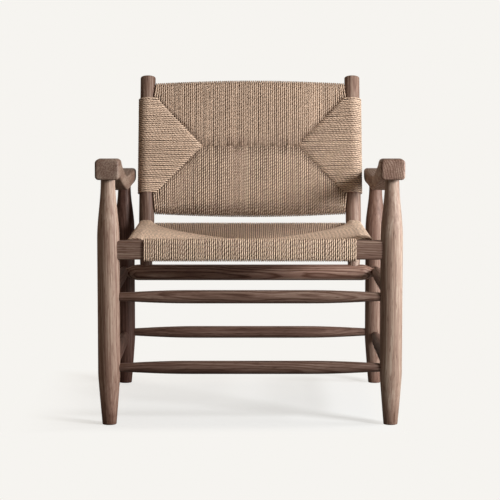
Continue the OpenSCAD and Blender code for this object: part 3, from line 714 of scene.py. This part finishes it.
def closed_slab(name, node, upper, lower):
    """A closed layer of cord: two grids of points [i, j, xyz], and a band that joins their rims."""
    rows, columns, _ = upper.shape
    index = np.arange(rows * columns).reshape(rows, columns)
    top = np.stack([index[:-1, :-1], index[1:, :-1], index[1:, 1:], index[:-1, 1:]], -1)
    top = top.reshape(-1, 4)
    bottom = (top + rows * columns)[:, ::-1]
    rim = np.concatenate([index[:, 0], index[-1, 1:], index[-2::-1, -1], index[0, -2::-1]])
    rim_low = rim + rows * columns
    edge = np.stack([rim[1:], rim[:-1], rim_low[:-1], rim_low[1:]], -1)
    points = np.concatenate([upper.reshape(-1, 3), lower.reshape(-1, 3)])
    cord_piece(name, node, points.tolist(), np.concatenate([top, bottom, edge]).tolist())


inner_t = 0.0022
seat_grid = 41
grid_x, grid_y = np.meshgrid(np.linspace(-inner_x, inner_x, seat_grid),
                             np.linspace(inner_front, inner_rear, seat_grid), indexing="ij")
grid_z = seat_inner_height(grid_x, grid_y)
closed_slab("seat_inner_cords", "seat_weave",
            np.stack([grid_x, grid_y, grid_z + inner_t / 2], -1),
            np.stack([grid_x, grid_y, grid_z - inner_t / 2], -1))


# ---- Back weave ----
# The back is woven alike in front and behind. The posts are wrapped between the rails, the side
# triangles end short of each other, and the upright cords meet in a ridge between them.
back_rail_r, back_rail_end_r, back_rail_swell = 0.015, 0.008, 0.230
back_core = 0.016
post_slit = 0.001
post_wrap_low, post_wrap_high = 0.039, 0.0285
column_turns, row_turns, row_uneven = 97, 50, 0.05
# How far the upright cords lie under the weave's face and the wraps over it, and how the outermost
# upright cords stray towards the posts.
column_under, row_over, corner_rise = 0.0004, 0.0006, 0.002
stray, stray_over, stray_curve = 0.0055, 0.030, 1.5
# How unevenly the cords meet in the ridge, and how much darker they are painted in it and at the
# diagonals, a painted shade where they dive.
ridge_uneven, ridge_shade, diagonal_shade = 0.0012, 0.35, 0.6


def rail_axis(node):
    """The middle of a back rail: the mean of its box's corners, in the chair's middle plane."""
    low, high = [np.array(corner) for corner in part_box(node)]
    return (low + high) / 2 * (0, 1, 1)


low_axis, high_axis = rail_axis("low_back_rail"), rail_axis("high_back_rail")
post_low, post_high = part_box("back_post_right")
up_back = (high_axis - low_axis) / np.linalg.norm(high_axis - low_axis)
out_front = np.array([0, -up_back[2], up_back[1]])
rails_apart = np.linalg.norm(high_axis - low_axis)
post_x = (post_low.x + post_high.x) / 2
post_r = (post_high.x - post_low.x) / 2

wrap_bottom, wrap_top = post_wrap_low, rails_apart - post_wrap_high
wrap_middle = (wrap_bottom + wrap_top) / 2
wrap_half = (wrap_top - wrap_bottom) / 2
inner_edge = post_x - post_r
apex_x = 0.121
mid_face = back_core / 2 - cord_d / 2

column_end = inner_edge - post_slit - cord_d / 2
columns = laid_out(-column_end, column_end, column_turns)
rows_at = laid_out(wrap_bottom + cord_d / 2, wrap_top - cord_d / 2, row_turns, row_uneven)
column_share = np.clip((inner_edge - np.abs(columns)) / (inner_edge - apex_x), 0, 1)
row_share = 1 - np.abs(rows_at - wrap_middle) / wrap_half
# The rails swell from their ends as a quarter of a sine wave.
swell = np.sin(np.pi / 2 * np.minimum(1, (inner_edge - np.abs(columns)) / back_rail_swell))
rail_at_column = back_rail_end_r + (back_rail_r - back_rail_end_r) * swell
corner_height = (post_r + cord_out + back_rail_end_r + cord_out) / 2 + corner_rise


def back_height(share):
    """Height of the weave's face on a diagonal, at a share of the way to the apex."""
    return diagonal(share * (inner_edge - apex_x), corner_height, mid_face)


column_height = back_height(column_share) - column_under
row_height = back_height(row_share) + row_over
outermost = np.clip((np.abs(columns) - column_end) / stray_over + 1, 0, 1) ** stray_curve
column_splay = np.sign(columns) * stray * outermost
at_ridge = column_share == 1
low_reach = wrap_bottom + wrap_half * column_share
high_reach = rails_apart - wrap_top + wrap_half * column_share
# The low cords get painted shade in their turns round the rail.
for name, axis, way, reach, groove, turn_shade, twist in (
        ("low", low_axis, 1, low_reach, 0.75, 0.45, 1.13),
        ("high", high_axis, -1, high_reach, 0.0, 0.0, 0.97)):
    dive_shade = np.where(at_ridge, np.abs(cord_random.normal(0, ridge_shade, len(columns))),
                        diagonal_shade)
    reach = reach + cord_random.normal(0, ridge_uneven, len(reach)) * at_ridge
    paths = wrap_paths(reach, column_height, -column_height, [(0, 0)], rail_at_column + cord_out,
                       under_dive)
    paths = placed(paths, columns, axis, way * up_back, out_front, (1, 0, 0), column_splay)
    cord_tubes("back_cords_" + name, "back_weave", paths, (way, 0, 0), groove, lightness=0.93,
               dive_shade=dive_shade, turn_shade=turn_shade, twist=twist)

# The wraps on the left are painted a little lighter than those on the right, and both lighter than
# the upright cords: painted light and shade.
row_reach = post_r + (inner_edge - apex_x) * row_share
for side, name in ((-1, "left"), (1, "right")):
    paths = wrap_paths(row_reach, row_height, -row_height, [(0, 0)], post_r + cord_out, over_dive)
    post_axis = low_axis + np.array([side * post_x, 0, 0])
    paths = placed(paths, rows_at, post_axis, (-side, 0, 0), out_front, up_back)
    cord_tubes("back_cords_" + name, "back_weave", paths, -side * up_back, groove=0.36,
               lightness=1.06 - 0.05 * side)

back_grid = (41, 31)
inner_end = 0.012
grid_x, grid_v = np.meshgrid(np.linspace(-inner_edge, inner_edge, back_grid[0]),
                             np.linspace(inner_end, rails_apart - inner_end, back_grid[1]),
                             indexing="ij")
middle_of_back = low_axis + grid_x[..., None] * np.array([1, 0, 0]) + grid_v[..., None] * up_back
closed_slab("back_inner_cords", "back_weave", middle_of_back + out_front * inner_t / 2,
            middle_of_back - out_front * inner_t / 2)
